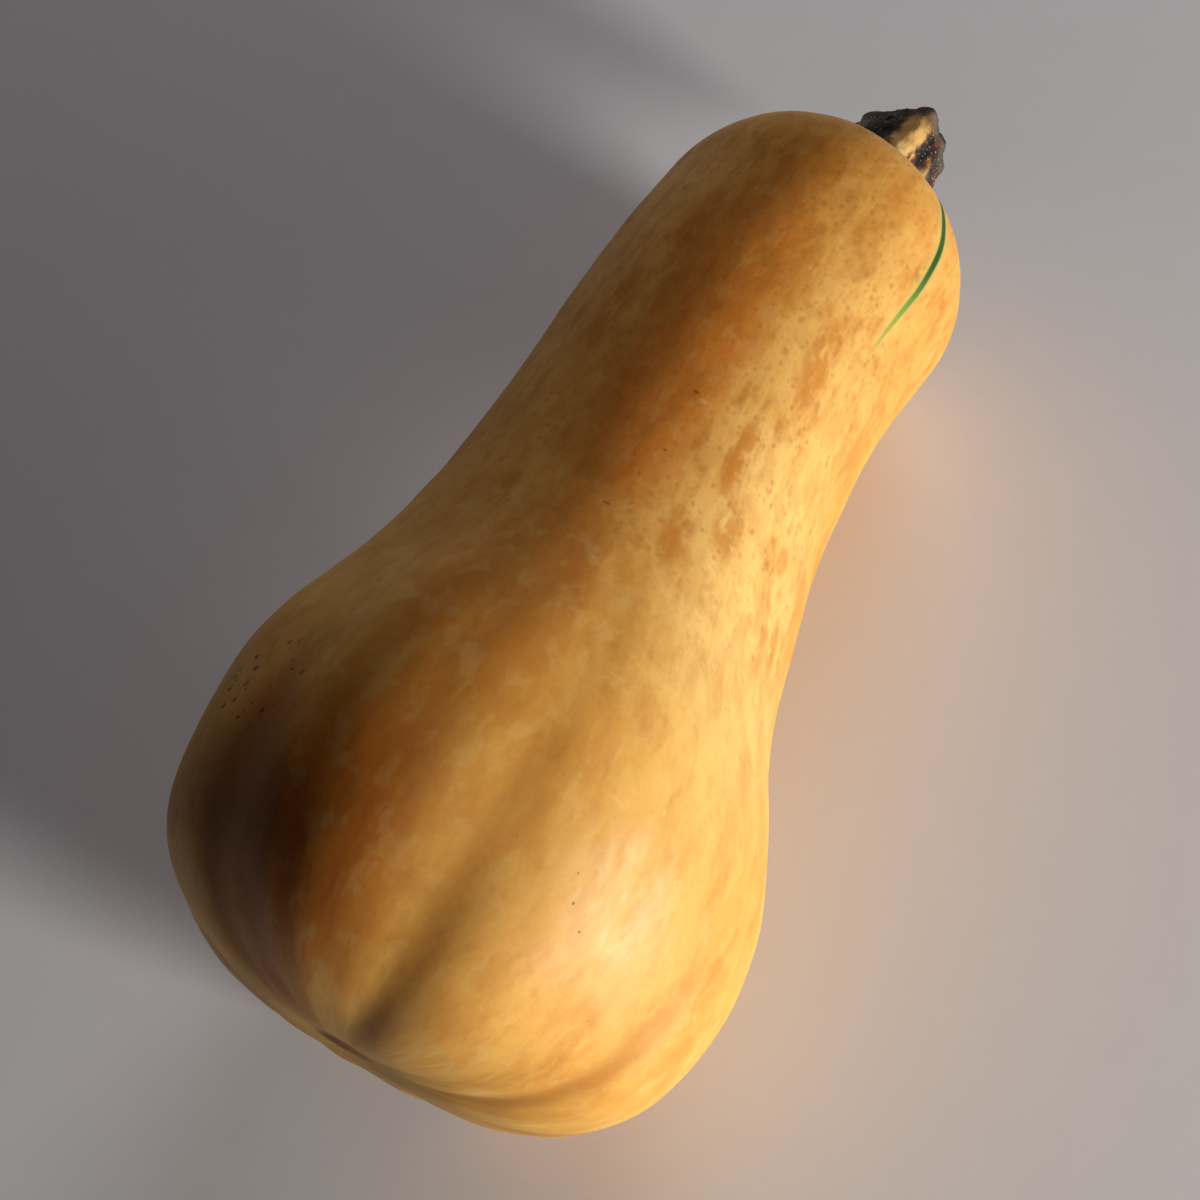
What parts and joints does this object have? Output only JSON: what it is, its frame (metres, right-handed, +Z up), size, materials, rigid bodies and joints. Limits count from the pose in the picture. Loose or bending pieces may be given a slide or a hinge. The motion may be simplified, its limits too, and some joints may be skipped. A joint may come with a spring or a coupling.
{
  "type": "butternut squash",
  "caption": "Pear-shaped butternut squash with soft ribs and a dried, ridged stem stub, lying on its side.",
  "frame": {"origin": "on the ground under the middle of the whole squash, as it lies", "axes": "+X along its length from the blossom end towards the stem, +Y to the left seen that way, +Z up"},
  "size_m": [0.2812, 0.1126, 0.1113],
  "materials": {
    "skin": "satin",
    "stem_bark": "matte"
  },
  "bodies": {
    "root": {"fruit": "skin", "stem": "stem_bark"}
  },
  "joints": []
}
